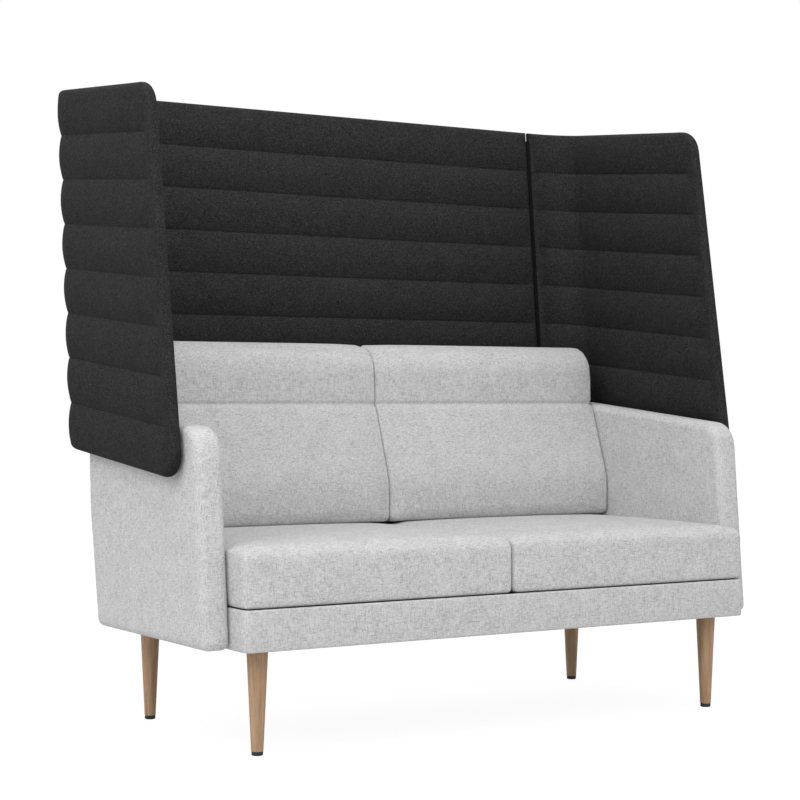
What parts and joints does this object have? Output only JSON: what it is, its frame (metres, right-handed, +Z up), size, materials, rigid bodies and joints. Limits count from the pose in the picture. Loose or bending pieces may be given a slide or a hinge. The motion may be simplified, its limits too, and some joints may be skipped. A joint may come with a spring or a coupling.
{
  "type": "high-back sofa",
  "caption": "Two-seat contract sofa on tapered wooden legs, wrapped on three sides by tall quilted acoustic screens, with screw-out levelling glides.",
  "frame": {"origin": "on the floor under the middle of the whole sofa, glides screwed in", "axes": "+X to the right seen from the front, +Y to the rear, +Z up"},
  "size_m": [1.44, 0.815, 1.38],
  "materials": {
    "seat_fabric": "light grey melange weave",
    "screen_fabric": "charcoal felt weave, quilted",
    "joint_strip": "matt black",
    "leg_wood": "oiled oak",
    "glide_plastic": "matt black",
    "frame_wood": "raw beech and plywood",
    "panel_board": "raw fibreboard",
    "foam": "open-cell foam",
    "webbing": "elastic webbing",
    "lining": "non-woven lining",
    "steel": "zinc plated"
  },
  "bodies": {
    "sofa": {"arm_board_left": "panel_board", "arm_board_right": "panel_board", "arm_bolts": "steel", "arm_cover_left": "seat_fabric", "arm_cover_right": "seat_fabric", "arm_foam_left": "foam", "arm_foam_right": "foam", "back_cover_left": "seat_fabric", "back_cover_right": "seat_fabric", "back_foam_left": "foam", "back_foam_right": "foam", "back_lower_rail": "frame_wood", "back_lumbar_rail": "frame_wood", "back_post_centre": "frame_wood", "back_post_left": "frame_wood", "back_post_right": "frame_wood", "back_rear_board": "panel_board", "back_rear_cover": "seat_fabric", "back_spacers": "steel", "back_top_rail": "frame_wood", "back_webbing": "webbing", "base_centre_rail": "frame_wood", "base_cover": "seat_fabric", "base_front_rail": "frame_wood", "base_rear_rail": "frame_wood", "base_side_rail_left": "frame_wood", "base_side_rail_right": "frame_wood", "corner_blocks": "frame_wood", "dust_cover": "lining", "glide_inserts": "steel", "leg_bolts": "steel", "leg_front_left": "leg_wood", "leg_front_right": "leg_wood", "leg_plate_screws": "steel", "leg_plates": "steel", "leg_rear_left": "leg_wood", "leg_rear_right": "leg_wood", "screen_back_board": "panel_board", "screen_back_front_pad": "screen_fabric", "screen_back_rear_pad": "screen_fabric", "screen_bolts": "steel", "screen_joint_strip_left": "joint_strip", "screen_joint_strip_right": "joint_strip", "screen_side_board_left": "panel_board", "screen_side_board_right": "panel_board", "screen_side_inner_pad_left": "screen_fabric", "screen_side_inner_pad_right": "screen_fabric", "screen_side_outer_pad_left": "screen_fabric", "screen_side_outer_pad_right": "screen_fabric", "seat_cover_left": "seat_fabric", "seat_cover_right": "seat_fabric", "seat_deck_cloth": "lining", "seat_foam_left": "foam", "seat_foam_right": "foam", "seat_webbing": "webbing"},
    "glide_front_left": {"glide_front_left": "glide_plastic"},
    "glide_front_right": {"glide_front_right": "glide_plastic"},
    "glide_rear_left": {"glide_rear_left": "glide_plastic"},
    "glide_rear_right": {"glide_rear_right": "glide_plastic"}
  },
  "joints": [
    {"name": "level_front_left", "type": "slide", "parent": "sofa", "child": "glide_front_left", "axis": [0, 0, -1], "range_m": [0, 0.03]},
    {"name": "level_front_right", "type": "slide", "parent": "sofa", "child": "glide_front_right", "axis": [0, 0, -1], "range_m": [0, 0.03]},
    {"name": "level_rear_left", "type": "slide", "parent": "sofa", "child": "glide_rear_left", "axis": [0, 0, -1], "range_m": [0, 0.03]},
    {"name": "level_rear_right", "type": "slide", "parent": "sofa", "child": "glide_rear_right", "axis": [0, 0, -1], "range_m": [0, 0.03]}
  ]
}
